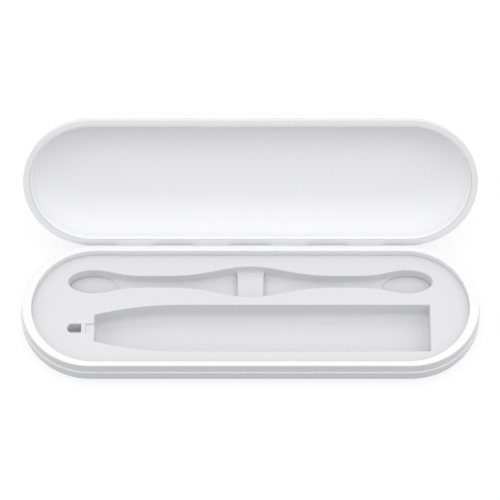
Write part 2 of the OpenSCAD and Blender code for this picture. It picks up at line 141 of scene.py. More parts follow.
class TraySizes(bpy.types.PropertyGroup):
    """Sizes of the moulded tray and its wells."""
    plate_t: length("Plate", "Thickness of the tray's top plate", 0.0018)
    reach: length("Reach", "How far the fitted plate reaches into the gap to the rim", 0.00013)
    wall: length("Wall", "Walls and floors of the wells", 0.0015)
    edge_r: length("Edge", "Rounding of the wells' upper edges", 0.0004)
    draft: length("Draft", "How far a well's wall leans in down to its foot", 0.0003)
    well_right: length("Well end", "Distance of the handle well's square end from the middle", 0.0938)
    well_left: length("Well tip", "Distance of the handle well's narrow end from the middle", 0.0815)
    well_y: length("Well centre", "Distance of the handle well's middle in front of the case's", 0.0111)
    well_w: length("Well width", "Width of the handle well along its straight part", 0.0276)
    well_corner_r: length("Well corners", "Rounding of the handle well's corners in plan", 0.0008)
    well_fillet: length("Well fillet", "Rounding between the handle well's sides and floor", 0.004)
    well_floor: length("Well floor", "Height of the handle well's floor", 0.0038)
    taper_r: length("Taper", "Radius of the arcs that narrow the handle well", 0.175)
    taper_x: length("Taper start", "Distance left of the middle at which the narrowing starts", 0.04)
    taper_lead: length("Taper lead", "How far right of that start the arcs' centres lie", 0.004)
    groove_y: length("Groove centre", "Distance of the groove's middle line behind the case's", 0.0168)
    groove_mid_w: length("Groove swell", "Width of the groove at its middle", 0.0183)
    groove_neck_w: length("Groove neck", "Width of the groove at its necks", 0.0068)
    groove_power: number("Groove power", "Draws out the groove's necks and shortens its swells", 2.0)
    groove_neck_x: length("Neck place", "Distance of the necks from the middle", 0.052)
    groove_floor: length("Groove floor", "Height of the groove's floor at its necks", 0.0089)
    groove_mid_floor: length("Middle floor", "Height of the groove's floor beside the rest", 0.0065)
    groove_fillet: length("Groove fillet", "Rounding between the groove's sides and floor", 0.0024)
    pocket_fillet: length("Pocket fillet", "Rounding between a pocket's sides and floor", 0.0005)
    pocket_rise: length("Pocket wall", "Height of a pocket's own wall above its pad", 0.002)
    pocket_l: length("Pocket length", "Length of the oval pocket", 0.0268)
    pocket_w: length("Pocket width", "Width of the oval pocket", 0.0138)
    pocket_inset: length("Pocket inset", "How far a pocket's wall stands in from the groove", 0.00036)
    rest_l: length("Rest length", "Length of the rest in the middle of the groove", 0.0145)
    rest_z: length("Rest top", "Height of the rest's top", 0.0098)
    rest_edge_r: length("Rest edge", "Rounding of the rest's upper edges", 0.0005)
    slot_left: length("Slot tip", "Distance of the slot's round end from the middle", 0.0956)
    slot_l: length("Slot length", "Length of the slot for the shaft", 0.0073)
    slot_w: length("Slot width", "Width of the slot for the shaft", 0.0052)
    slot_floor: length("Slot floor", "Height of the slot's floor", 0.0078)
    land_w: length("Land", "Width of the land between the slot and the recess", 0.0022)
    notch_depth: length("Recess", "Depth of the shallow recess beside the well", 0.001)
    notch_fillet: length("Recess fillet", "Rounding between the recess's sides and floor", 0.0005)
    notch_flare: length("Recess edge", "Rounding of the recess's upper edge", 0.0003)


class LidSizes(bpy.types.PropertyGroup):
    """Sizes of the lid and the dish inside it."""
    seam: length("Seam", "Gap between the two rims when the case is closed", 0.0003)
    edge_h: length("Edge", "Height of the lid's upright edge above its rim", 0.00048)
    side_r: length("Side", "Radius where the lid's side begins to round over", 0.011)
    crown_r: length("Crown", "Radius where the side runs out into the flat top", 0.032)
    turn: angle("Turn", "Angle up the side at which the radius changes", 50)
    wall: length("Wall", "Wall of the lid shell", 0.0016)
    rim_w: length("Rim", "Width of the lid's flat rim", 0.0034)
    rim_t: length("Rim thickness", "Thickness of the lid's rim", 0.0016)
    rim_edge_r: length("Rim edge", "Rounding of the rim's outer edge", 0.000405)
    split_r: length("Split", "Rounding along the line between the rim and the liner", 0.00015)
    lip_w: length("Lip width", "Width of the liner's sloping lip", 0.001)
    lip_h: length("Lip height", "Height of the liner's sloping lip", 0.0014)
    lip_land: length("Land", "Width of the flat land outside the lip", 0.0003)
    lip_r: length("Lip edge", "Rounding of the lip's upper edge", 0.00015)
    liner_wall: length("Liner wall", "Wall of the liner", 0.0011)


class HingeSizes(bpy.types.PropertyGroup):
    """Sizes of the hinge, of the screws and of what holds them."""
    count: IntProperty(name="Knuckles", description="Number of knuckles on both parts", default=9, min=3)
    knuckle_r: length("Knuckle", "Radius of the knuckles", 0.0019)
    edge_r: length("Knuckle edge", "Rounding of the knuckles' ends", 0.0002)
    bore_r: length("Bore", "Radius of the bores for the pin", 0.00085)
    turn_gap: length("Turning gap", "Clearance between parts that turn past each other", 0.0003)
    screw_ring_r: length("Screw ring", "Distance of the screws from the rim's end centre", 0.0258)
    front_angle: angle("Front screws", "Angle of the front screws from the middle line", 38)
    back_angle: angle("Back screws", "Angle of the back screws from the middle line", 31)
    screw_r: length("Screw", "Radius of a screw", 0.0011)
    screw_l: length("Screw length", "Length of a screw under its head", 0.007)
    head_r: length("Screw head", "Radius of a screw's head", 0.002)
    head_h: length("Head height", "Height of a screw's head", 0.001)
    head_round: length("Head rounding", "Width of the rounding of a screw's head", 0.0009)
    threads: IntProperty(name="Threads", description="Turns of a screw's thread", default=9, min=1)
    thread_depth: length("Thread depth", "Depth of a screw's thread", 0.00022)
    cross_l: length("Cross length", "Length of an arm of the cross in a screw's head", 0.0024)
    cross_w: length("Cross width", "Width of an arm of the cross in a screw's head", 0.00056)
    post_r: length("Post", "Radius of the post that a screw bites into", 0.0028)
    ear_r: length("Ear", "Radius of the ear round a screw's seat", 0.0034)
    tongue: number("Tongue", "Half width of an ear's tongue as a share of its radius", 0.8)
    arm_rise: length("Arm", "Height that a lid knuckle's arm runs up the lid's back", 0.0048)


class Finishes(bpy.types.PropertyGroup):
    """Colours of the finishes."""
    gloss: colour("Gloss plastic", "Colour of the outer shells and the rim", "#e5e5e7")
    satin: colour("Satin plastic", "Colour of the moulded tray", "#d2d2d4")
    # The liner's colour is lifted above the shell's white: painted light that stands in for light on the
    # lid's inside
    liner: colour("Liner plastic", "Colour of the lid's liner", "#eaeaec")
    pad: colour("Soft pad", "Colour of the pads in the pockets", "#cacacc")
    wire: colour("Drawn steel", "Colour of the hinge pin", "#c8c9cb")
    zinc: colour("Zinc plating", "Colour of the screws", "#c3c6ca")
    nickel: colour("Nickel plating", "Colour of the magnets", "#c4c0b8")
    floor: colour("Floor", "Colour of the floor as the case sees it", "#949494")


class StageSettings(bpy.types.PropertyGroup):
    """Camera and light."""
    lens: number("Lens", "Focal length in millimetres", 276.0)
    distance: length("Distance", "Distance of the camera from what it looks at", 2.0)
    elevation: angle("Elevation", "Height of the camera above the horizon", 59.5)
    photo_px: IntProperty(name="Picture", description="Width and height of the picture in pixels",
                          default=500)
    centre_px: FloatVectorProperty(name="Centre", description="Place of the rim's middle in the picture",
                                   size=2, default=(250.5, 305.5))
    key: number("Key", "Light of the large lamp on a surface that faces it", 0.2)
    key_w: length("Key width", "Width of the large lamp", 2.4)
    key_d: length("Key depth", "Depth of the large lamp", 2.0)
    key_far: length("Key distance", "Distance of the large lamp from the case", 1.8)
    key_tilt: angle("Key tilt", "Lean of the large lamp from overhead towards the front", -15)
    horizon: number("Horizon", "Strength of the light from all round, near the floor", 0.15)
    zenith: number("Zenith", "Strength of the light from all round, overhead", 1.42)
    sides: number("Sides", "Strength of the extra light from the left and the right", 0.9)
    floor_shade: number("Floor shade", "Share of the floor's own shading in the picture", 0.2)
    floor_size: length("Floor", "Half the width of the floor", 6.0)
    floor_gap: length("Floor gap", "Gap under the case, so that two faces don't coincide", 0.00005)


GROUPS = {
    "case_sizes": CaseSizes,
    "tray_sizes": TraySizes,
    "lid_sizes": LidSizes,
    "hinge_sizes": HingeSizes,
    "case_finishes": Finishes,
    "case_stage": StageSettings,
}


def add(tree, kind, inputs=None, **settings):
    """Adds a node with its settings, and links or fills its inputs.

    A node among the inputs stands for its first output."""
    node = tree.nodes.new(kind)
    for key, value in settings.items():
        setattr(node, key, value)
    for key, value in (inputs or {}).items():
        if isinstance(value, bpy.types.Node):
            value = value.outputs[0]
        if isinstance(value, bpy.types.NodeSocket):
            tree.links.new(value, node.inputs[key])
        else:
            node.inputs[key].default_value = value
    return node


def calc(tree, operation, *values):
    """Adds a node that works out a number from others."""
    return add(tree, "ShaderNodeMath", dict(enumerate(values)), operation=operation)


# Outlines and profiles

def arc(x, z, r, start, stop, steps):
    """Points of an arc, with its angles in radians."""
    angles = [start + (stop - start)*i/steps for i in range(steps + 1)]
    return [(x + r*cos(a), z + r*sin(a)) for a in angles]


def eased(corners, steps=4):
    """A line through corners (x, z, radius), each rounded by an arc of its radius."""
    points = []
    for i, (x, z, r) in enumerate(corners):
        here = Vector((x, z))
        if r == 0 or i in (0, len(corners) - 1):
            points.append((x, z))
            continue
        back = (Vector(corners[i - 1][:2]) - here).normalized()
        on = (Vector(corners[i + 1][:2]) - here).normalized()
        half = back.angle(on)/2
        centre = here + (back + on).normalized()*(r/sin(half))
        first = here + back*(r/tan(half)) - centre
        last = here + on*(r/tan(half)) - centre
        turn = first.angle_signed(last)
        for k in range(steps + 1):
            spoke = first.copy()
            spoke.rotate(Matrix.Rotation(-turn*k/steps, 2))
            points.append(tuple(centre + spoke))
    return points


def round_ended(end_x, r, steps=END_STEPS):
    """Outline with two round ends, from the front right and back to it."""
    right = arc(end_x, 0, r, -pi/2, pi/2, steps)
    left = arc(-end_x, 0, r, pi/2, 3*pi/2, steps)
    return right + left


def moved_out(points, distance):
    """A closed outline, listed clockwise, moved outwards along its corners' normals."""
    result = []
    for i, (x, y) in enumerate(points):
        near = [Vector(points[k % len(points)]) - Vector((x, y)) for k in (i - 1, i + 1)]
        sides = [v.normalized() for v in near if v.length > SAME]
        along = (sides[-1] - sides[0]).normalized() if len(sides) == 2 else sides[0]
        normal = Vector((-along.y, along.x))
        stretch = 1/max(SHARPEST, abs(normal.dot(Vector((-sides[-1].y, sides[-1].x)))))
        result.append((x + normal.x*distance*stretch, y + normal.y*distance*stretch))
    return result


def bend(first, corner, last, steps=4):
    """Points that round a corner from one point to another."""
    a, b, c = Vector(first), Vector(corner), Vector(last)
    return [tuple(a.lerp(b, k/steps).lerp(b.lerp(c, k/steps), k/steps)) for k in range(steps + 1)]


def there_and_back(upper, middle=0.0):
    """A closed outline about a middle line, from its upper side, listed from left to right."""
    return [(x, y + middle) for x, y in upper + [(x, -y) for x, y in reversed(upper)]]


def level(outline, z):
    """The points of an outline at a height."""
    return [(x, y, z) for x, y in outline]


# Meshes

def loft(bm, loops, close=False):
    """Joins equally long loops of points with faces and returns the loops' vertices."""
    rings = [[bm.verts.new(co) for co in loop] for loop in loops]
    pairs = list(zip(rings, rings[1:])) + ([(rings[-1], rings[0])] if close else [])
    for a, b in pairs:
        for i in range(len(a)):
            j = (i + 1) % len(a)
            bm.faces.new((a[i], a[j], b[j], b[i]))
    return rings


def capped(bm, loops):
    """Joins loops of points and closes both ends with a face."""
    rings = loft(bm, loops)
    bm.faces.new(rings[0])
    bm.faces.new(rings[-1])


def rungs(bm, ring):
    """Closes a ring that lists one side and then its mirror image, with a face across each step."""
    n = len(ring)
    for i in range(n//2 - 1):
        bm.faces.new((ring[i], ring[i + 1], ring[n - 2 - i], ring[n - 1 - i]))


def tidy(bm):
    """Merges doubles, drops faces without area and turns the faces outwards."""
    bmesh.ops.remove_doubles(bm, verts=bm.verts, dist=SAME)
    bmesh.ops.dissolve_degenerate(bm, edges=bm.edges, dist=SAME/2)
    bmesh.ops.recalc_face_normals(bm, faces=bm.faces)


def piece(name, bm):
    """A new object from a mesh in the making."""
    tidy(bm)
    mesh = bpy.data.meshes.new(name)
    bm.to_mesh(mesh)
    bm.free()
    return linked(name, mesh)


def linked(name, data):
    """A new object in the scene for a mesh, a camera or a lamp."""
    obj = bpy.data.objects.new(name, data)
    bpy.context.scene.collection.objects.link(obj)
    return obj


def settled(obj):
    """Turns an object's modifiers into plain mesh."""
    graph = bpy.context.evaluated_depsgraph_get()
    graph.update()
    mesh = bpy.data.meshes.new_from_object(obj.evaluated_get(graph), depsgraph=graph)
    obj.modifiers.clear()
    obj.data = mesh
    return obj


def carved(obj, tool, operation="DIFFERENCE"):
    """Cuts, joins or intersects an object with a tool object, which is used up."""
    change = obj.modifiers.new("Carve", "BOOLEAN")
    change.operation = operation
    change.solver = "EXACT"
    change.use_self = True
    change.object = tool
    settled(obj)
    bpy.data.objects.remove(tool)
    return obj


def finished(obj, body, slot, material, *nodes, edge=32):
    """Smooths a piece but for edges over edge degrees, and gives it its material and body; slot is not
    used.
    """
    bm = bmesh.new()
    bm.from_mesh(obj.data)
    tidy(bm)
    bm.to_mesh(obj.data)
    bm.free()
    obj.data.shade_smooth()
    obj.data.set_sharp_from_angle(angle=radians(edge))
    shade = obj.modifiers.new("Even shading", "WEIGHTED_NORMAL")
    shade.keep_sharp = True
    obj.data.materials.clear()
    obj.data.materials.append(material)
    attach(obj, body)
    if nodes:
        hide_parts(*nodes)
    return obj


def bar(name, centre, size):
    """A plain block, used as a tool."""
    bm = bmesh.new()
    place = Matrix.Translation(centre) @ Matrix.Diagonal((*size, 1))
    bmesh.ops.create_cube(bm, size=1, matrix=place)
    return piece(name, bm)


def rods(name, centres, r, half, axis="X", sides=32):
    """Round bars along X or Z, used as a tool."""
    bm = bmesh.new()
    turn = Matrix.Rotation(pi/2, 4, "Y") if axis == "X" else Matrix.Identity(4)
    for centre in centres:
        bmesh.ops.create_cone(bm, cap_ends=True, segments=sides, radius1=r, radius2=r, depth=2*half,
                              matrix=Matrix.Translation(centre) @ turn)
    return piece(name, bm)


# Geometry Nodes

def new_tree(name, inputs):
    """A node tree with a geometry in and out, and its named inputs."""
    tree = bpy.data.node_groups.new(name, "GeometryNodeTree")
    tree.interface.new_socket("Geometry", in_out="INPUT", socket_type="NodeSocketGeometry")
    for label, kind in inputs.items():
        tree.interface.new_socket(label, in_out="INPUT", socket_type="NodeSocket" + kind)
    tree.interface.new_socket("Geometry", in_out="OUTPUT", socket_type="NodeSocketGeometry")
    return tree, add(tree, "NodeGroupInput").outputs


def end_tree(tree, geometry, material):
    """Ends a tree with real geometry and its material."""
    real = add(tree, "GeometryNodeRealizeInstances", {"Geometry": geometry})
    painted = add(tree, "GeometryNodeSetMaterial", {"Geometry": real, "Material": material})
    add(tree, "NodeGroupOutput", {"Geometry": painted})
    return tree


def grown(obj, tree, values):
    """Runs a node tree on an object and keeps the result as plain mesh."""
    change = obj.modifiers.new(tree.name, "NODES")
    change.node_group = tree
    for item in tree.interface.items_tree:
        if item.in_out == "INPUT" and item.name in values:
            change[item.identifier] = values[item.name]
    return settled(obj)


def sweep_tree():
    """Carries a profile round both ends and along the straight sides of the case."""
    tree, given = new_tree("round_ended_sweep", {"End": "Float", "Radius": "Float", "Arc steps": "Int",
                                                 "Finish": "Material"})
    across = calc(tree, "MULTIPLY", given["Radius"], 2.0)
    ends = calc(tree, "MULTIPLY", given["End"], 2.0)
    along = calc(tree, "ADD", across, ends)
    box = add(tree, "GeometryNodeCurvePrimitiveQuadrilateral", {"Width": along, "Height": across})
    path = add(tree, "GeometryNodeFilletCurve", {"Curve": box, "Radius": given["Radius"],
                                                 "Count": given["Arc steps"]}, mode="POLY")
    # The normal points straight out from the nearest place on the line between the ends' centres
    place = add(tree, "GeometryNodeInputPosition")
    x = add(tree, "ShaderNodeSeparateXYZ", {0: place})
    low = calc(tree, "MULTIPLY", given["End"], -1.0)
    core = add(tree, "ShaderNodeClamp", {"Value": x, "Min": low, "Max": given["End"]})
    middle = add(tree, "ShaderNodeCombineXYZ", {"X": core})
    spoke = add(tree, "ShaderNodeVectorMath", {0: place, 1: middle}, operation="SUBTRACT")
    out = add(tree, "ShaderNodeVectorMath", {0: spoke}, operation="NORMALIZE")
    aimed = add(tree, "GeometryNodeSetCurveNormal", {"Curve": path, "Normal": out}, mode="FREE")
    profile = add(tree, "GeometryNodeMeshToCurve", {"Mesh": given["Geometry"]})
    skin = add(tree, "GeometryNodeCurveToMesh", {"Curve": aimed, "Profile Curve": profile})
    joined = add(tree, "GeometryNodeMergeByDistance", {"Geometry": skin, "Distance": 2*SAME})
    return end_tree(tree, joined, given["Finish"])


def row_tree():
    """Repeats a piece in a row along X."""
    tree, given = new_tree("row_of_knuckles", {"Count": "Int", "First": "Float", "Pitch": "Float",
                                               "Finish": "Material"})
    first = add(tree, "ShaderNodeCombineXYZ", {"X": given["First"]})
    step = add(tree, "ShaderNodeCombineXYZ", {"X": given["Pitch"]})
    places = add(tree, "GeometryNodeMeshLine", {"Count": given["Count"], "Start Location": first,
                                                "Offset": step}, mode="OFFSET")
    copies = add(tree, "GeometryNodeInstanceOnPoints", {"Points": places, "Instance": given["Geometry"]})
    return end_tree(tree, copies, given["Finish"])


def sites_tree():
    """Repeats a piece at each of the four screw sites, given as loose points."""
    tree, given = new_tree("screws_at_sites", {"Piece": "Object", "Finish": "Material"})
    shape = add(tree, "GeometryNodeObjectInfo", {"Object": given["Piece"]})
    copies = add(tree, "GeometryNodeInstanceOnPoints", {"Points": given["Geometry"],
                                                        "Instance": shape.outputs["Geometry"]})
    return end_tree(tree, copies, given["Finish"])


def swept(name, profile, radius, material):
    """A piece of the case from the line of its profile, listed as (distance from the middle, height)."""
    bm = bmesh.new()
    points = [bm.verts.new((r - radius, -z, 0)) for r, z in profile]
    for a, b in zip(points, points[1:]):
        bm.edges.new((a, b))
    mesh = bpy.data.meshes.new(name)
    bm.to_mesh(mesh)
    bm.free()
    tree = bpy.data.node_groups.get("round_ended_sweep") or sweep_tree()
    return grown(linked(name, mesh), tree, {"End": END_X, "Radius": radius, "Arc steps": END_STEPS//2,
                                            "Finish": material})


def screw_sites():
    """Places of the four screws in plan."""
    h = bpy.context.scene.hinge_sizes
    c = bpy.context.scene.case_sizes
    mouth_x = RIM_HIGH.x - c.rim_end_w - (RIM_R - c.rim_side_w)
    return [(side*(mouth_x + h.screw_ring_r*cos(a)), h.screw_ring_r*sin(a))
            for side in (-1, 1) for a in (-h.front_angle, h.back_angle)]


def at_sites(name, shape, material):
    """One mesh with a copy of a shape at each screw site; the shape is used up."""
    mesh = bpy.data.meshes.new(name)
    mesh.from_pydata([(x, y, 0) for x, y in screw_sites()], [], [])
    tree = bpy.data.node_groups.get("screws_at_sites") or sites_tree()
    obj = grown(linked(name, mesh), tree, {"Piece": shape, "Finish": material})
    bpy.data.objects.remove(shape)
    return obj


# Finishes

# Patches to the metre in which a moulded plastic's colour and the paper's roughness vary
FLOW_SCALE = 28.0
PAPER_SCALE = 60.0


def surface(name):
    """A new material with its empty node tree, and the object's own coordinates in it."""
    material = bpy.data.materials.new(name)
    material.use_nodes = True
    tree = material.node_tree
    tree.nodes.clear()
    return material, tree, add(tree, "ShaderNodeTexCoord").outputs["Object"]


def plastic(name, tint, roughness, grain, relief, mottle):
    """A moulded plastic: faint flow mottling, a fine surface grain and uneven gloss.

    grain is the grain's size in metres, relief its height in metres, mottle the colour's variation."""
    material, tree, place = surface(name)
    flow = add(tree, "ShaderNodeTexNoise", {"Vector": place, "Scale": FLOW_SCALE, "Detail": 3.0,
                                            "Roughness": 0.55})
    fine = add(tree, "ShaderNodeTexNoise", {"Vector": place, "Scale": 1/grain, "Detail": 2.0,
                                            "Roughness": 0.6})
    shade = add(tree, "ShaderNodeMapRange", {"Value": flow, "To Min": 1 - mottle, "To Max": 1.0})
    body = add(tree, "ShaderNodeVectorMath", {0: tint, "Scale": shade}, operation="SCALE")
    # The noise lies mostly between 0.3 and 0.7, and spreads the roughness by a tenth each way
    gloss = add(tree, "ShaderNodeMapRange", {"Value": fine, "From Min": 0.3, "From Max": 0.7,
                                             "To Min": 0.9*roughness, "To Max": 1.1*roughness})
    bump = add(tree, "ShaderNodeBump", {"Height": fine, "Distance": relief, "Strength": 1.0})
    shader = add(tree, "ShaderNodeBsdfPrincipled", {"Base Color": body, "Roughness": gloss,
                                                    "Normal": bump, "IOR": 1.53})
    add(tree, "ShaderNodeOutputMaterial", {"Surface": shader})
    return material


def metal(name, tint, roughness, scale, stretch=(1, 1, 1), relief=0.00001):
    """A metal with fine tool or plating marks, drawn out along an axis by stretch.

    scale is the number of marks to the metre, relief their height in metres."""
    material, tree, place = surface(name)
    drawn = add(tree, "ShaderNodeMapping", {"Vector": place, "Scale": stretch})
    marks = add(tree, "ShaderNodeTexNoise", {"Vector": drawn, "Scale": scale, "Detail": 4.0})
    gloss = add(tree, "ShaderNodeMapRange", {"Value": marks, "To Min": 0.7*roughness,
                                             "To Max": 1.3*roughness})
    bump = add(tree, "ShaderNodeBump", {"Height": marks, "Distance": relief})
    shader = add(tree, "ShaderNodeBsdfPrincipled", {"Base Color": [*tint, 1], "Metallic": 1.0,
                                                    "Roughness": gloss, "Normal": bump})
    add(tree, "ShaderNodeOutputMaterial", {"Surface": shader})
    return material


def finish(key):
    """The material for a finish, made the first time that it is asked for."""
    f = bpy.context.scene.case_finishes
    makers = {
        # Injection-moulded ABS from a polished tool: a soft gloss with an even white body
        "abs_polished_tool": lambda: plastic(key, f.gloss, roughness=0.34, grain=0.0006,
                                             relief=0.000004, mottle=0.012),
        # Moulded ABS from a fine spark-eroded tool: a satin, slightly greyer white
        "abs_satin_tool": lambda: plastic(key, f.satin, roughness=0.52, grain=0.0005,
                                          relief=0.000010, mottle=0.02),
        # The liner's smooth inner face: a soft gloss that shows broad, blurred reflections; its colour is
        # lifted above the shell's white as painted light on the lid's inside
        "abs_smooth_liner": lambda: plastic(key, f.liner, roughness=0.38, grain=0.0008,
                                            relief=0.000005, mottle=0.015),
        # Soft moulded elastomer: matt, with a slightly powdery face
        "elastomer_matt": lambda: plastic(key, f.pad, roughness=0.72, grain=0.0004,
                                          relief=0.000015, mottle=0.03),
        # Drawn steel wire: fine lines along its length
        "steel_drawn_wire": lambda: metal(key, f.wire, roughness=0.3, scale=900,
                                          stretch=(0.05, 1, 1)),
        # Zinc-plated steel: bright, with a fine even grain
        "steel_zinc_plated": lambda: metal(key, f.zinc, roughness=0.35, scale=1500),
        # Nickel-plated magnet: smooth, slightly warm plating
        "magnet_nickel_plated": lambda: metal(key, f.nickel, roughness=0.2, scale=700),
    }
    return bpy.data.materials.get(key) or makers[key]()


# Parts of the base

def base_profile():
    """Line of the lower shell's wall, from the middle of its underside round to its inner floor."""
    c = bpy.context.scene.case_sizes
    outer = arc(CASE_R - c.bottom_r, c.bottom_r, c.bottom_r, -pi/2, 0, steps=16)
    inner_r = CASE_R - c.wall
    inner_bottom = c.bottom_r - c.wall
    edge = eased([(CASE_R, c.bottom_r, 0), (CASE_R, LEDGE_Z, c.ledge_r), (inner_r, LEDGE_Z, c.ledge_r),
                  (inner_r, c.bottom_r, 0)])
    inner = arc(inner_r - inner_bottom, c.bottom_r, inner_bottom, 0, -pi/2, steps=12)
    return [(0, 0)] + outer + edge[1:] + inner[1:] + [(0, c.wall)]


class CASE_OT_base_shell(bpy.types.Operator):
    """Lower shell of the base, with the posts that its screws bite into"""
    bl_idname = "case.base_shell"
    bl_label = "Base Shell"

    def execute(self, context):
        c, h = context.scene.case_sizes, context.scene.hinge_sizes
        white = finish("abs_polished_tool")
        shell = swept("lower_shell", base_profile(), CASE_R, white)
        shelf_z = TRAY_Z - context.scene.tray_sizes.plate_t - c.shelf_t
        half = (shelf_z - c.wall)/2
        post = rods("post", [(0, 0, c.wall + half - c.seat)], h.post_r, half, "Z")
        carved(shell, at_sites("posts", post, white), "UNION")
        half = h.screw_l/2
        bore = rods("bore", [(0, 0, shelf_z - half)], h.screw_r + c.seat/2, half + PAST, "Z")
        carved(shell, at_sites("bores", bore, white))
        finished(shell, "base", "case_gloss", white, "base_shell")
        return {"FINISHED"}


def knuckle(outline, half, name):
    """A knuckle from its outline seen along the pin, with eased ends."""
    h = bpy.context.scene.hinge_sizes
    inside = moved_out(outline, -h.edge_r)
    bm = bmesh.new()
    stations = [(-half, inside), (-half + h.edge_r, outline), (half - h.edge_r, outline), (half, inside)]
    capped(bm, [[(x, HINGE_Y + u, HINGE_Z + v) for u, v in line] for x, line in stations])
    return piece(name, bm)


def knuckle_row(shape, first, material):
    """Every second knuckle along the pin, starting with the first or the second place."""
    h = bpy.context.scene.hinge_sizes
    pitch = 2*HINGE_REACH/h.count
    tree = bpy.data.node_groups.get("row_of_knuckles") or row_tree()
    return grown(shape, tree, {"Count": (h.count + 1 - first)//2, "Pitch": 2*pitch, "Finish": material,
                               "First": (first + 0.5)*pitch - HINGE_REACH})


def knuckle_half(gap):
    """Half the length of a knuckle whose place is narrowed or widened by a gap."""
    h = bpy.context.scene.hinge_sizes
    return HINGE_REACH/h.count + gap/2


class CASE_OT_base_rim(bpy.types.Operator):
    """Rim frame of the base, with its knuckles, its shelf and the seats of screws and magnets"""
    bl_idname = "case.base_rim"
    bl_label = "Base Rim"

    def execute(self, context):
        s = context.scene
        c, h, t = s.case_sizes, s.hinge_sizes, s.tray_sizes
        white = finish("abs_polished_tool")
        mouth_r = RIM_R - c.rim_side_w
        mouth_x = RIM_HIGH.x - c.rim_end_w - mouth_r
        shelf_r = mouth_r - c.shelf_w
        plate_z = TRAY_Z - t.plate_t
        spigot_r = CASE_R - c.wall - c.seat
        # Rings (centre of the round ends, radius, height) from the ledge up, over and down to the spigot
        outer = [(END_X, r, z) for r, z in eased([
            (RIM_R, LEDGE_Z, 0), (RIM_R, RIM_Z, c.rim_edge_r), (mouth_r, RIM_Z, 0)])[:-1]]
        inner = [(mouth_x, r, z) for r, z in eased([
            (RIM_R, RIM_Z, 0), (mouth_r, RIM_Z, c.rim_edge_r), (mouth_r, plate_z, 0),
            (shelf_r, plate_z, 0), (shelf_r, plate_z - c.shelf_t, 0), (mouth_r, plate_z - c.shelf_t, 0),
            (mouth_r, RIM_LOW.z, 0)])[1:]]
        spigot = [(END_X, spigot_r, RIM_LOW.z), (END_X, spigot_r, LEDGE_Z)]
        bm = bmesh.new()
        loft(bm, [level(round_ended(x, r), z) for x, r, z in outer + inner + spigot], close=True)
        rim = piece("rim_frame", bm)

        root = c.rim_side_w/2
        round_part = arc(0, 0, h.knuckle_r, pi/2, -pi/2, steps=16)
        outline = [(-root, h.knuckle_r)] + round_part + [(-root, -h.knuckle_r)]
        shape = knuckle(outline, knuckle_half(-h.turn_gap), "base_knuckle")
        carved(rim, knuckle_row(shape, 0, white), "UNION")
        room = rods("room", [PIN], h.knuckle_r + h.turn_gap, knuckle_half(h.turn_gap), sides=48)
        carved(rim, knuckle_row(room, 1, white))
        carved(rim, rods("bore", [PIN], h.bore_r, HINGE_REACH + PAST))

        # Ears that reach from the end walls to the screws
        bm = bmesh.new()
        tongue_w = h.ear_r*h.tongue
        tongue_l = mouth_r + c.rim_side_w/2 - h.screw_ring_r
        for x, y in screw_sites():
            spoke = Vector((x - (mouth_x if x > 0 else -mouth_x), y))
            turn = Matrix.Rotation(spoke.angle_signed(Vector((1, 0))), 2)
            bow = arc(0, 0, h.ear_r, pi/2, 3*pi/2, steps=20)
            ear = [Vector((x, y)) + turn @ Vector(p)
                   for p in bow + [(tongue_l, -tongue_w), (tongue_l, tongue_w)]]
            capped(bm, [level(ear, z) for z in (plate_z - c.shelf_t, plate_z)])
        carved(rim, piece("ears", bm), "UNION")
        middles = [(x, y, plate_z - c.shelf_t/2) for x, y in screw_sites()]
        carved(rim, rods("screw_holes", middles, h.screw_r + c.seat, c.shelf_t/2 + PAST, "Z"))
        seats = [(x, y, plate_z - h.head_h - 2*c.seat + PAST) for x, y in screw_sites()]
        carved(rim, rods("head_seats", seats, h.head_r + c.seat, PAST, "Z"))
        low, top = LEDGE_Z - PAST, MAGNET_HIGH.z + c.seat
        for side in (-1, 1):
            carved(rim, bar("seat", (side*MAGNET_MIDDLE.x, MAGNET_MIDDLE.y, (top + low)/2),
                            (MAGNET_SIZE.x + 2*c.seat, MAGNET_SIZE.y + 2*c.seat, top - low)))
        finished(rim, "base", "case_gloss", white, "base_rim")
        return {"FINISHED"}


# The tray

def well_outline(grow):
    """Plan of the handle well, moved outwards by grow: square right end, narrowing left end."""
    t = bpy.context.scene.tray_sizes
    half = t.well_w/2
    left, right = -t.well_left - grow, t.well_right + grow
    centre_x = t.taper_lead - t.taper_x
    centre_y = half - sqrt(t.taper_r**2 - t.taper_lead**2)
    corner = max(0.0, t.well_corner_r + grow)

    def side(x):
        if x >= centre_x:
            return half + grow
        return min(half + grow, centre_y + sqrt((t.taper_r + grow)**2 - (x - centre_x)**2))

    tip = side(left)
    steps = 28
    start = left + corner
    taper = [start + (centre_x - start)*k/steps for k in range(1, steps + 1)]
    upper = bend((left, tip - corner), (left, tip), (start, side(start)))
    upper += [(x, side(x)) for x in taper]
    upper += bend((right - corner, half + grow), (right, half + grow), (right, half + grow - corner))
    return there_and_back(upper, -t.well_y)


def ramp(share):
    """Rises smoothly from 0 to 1, slowly at first."""
    return ((1 - cos(pi*share))/2)**bpy.context.scene.tray_sizes.groove_power


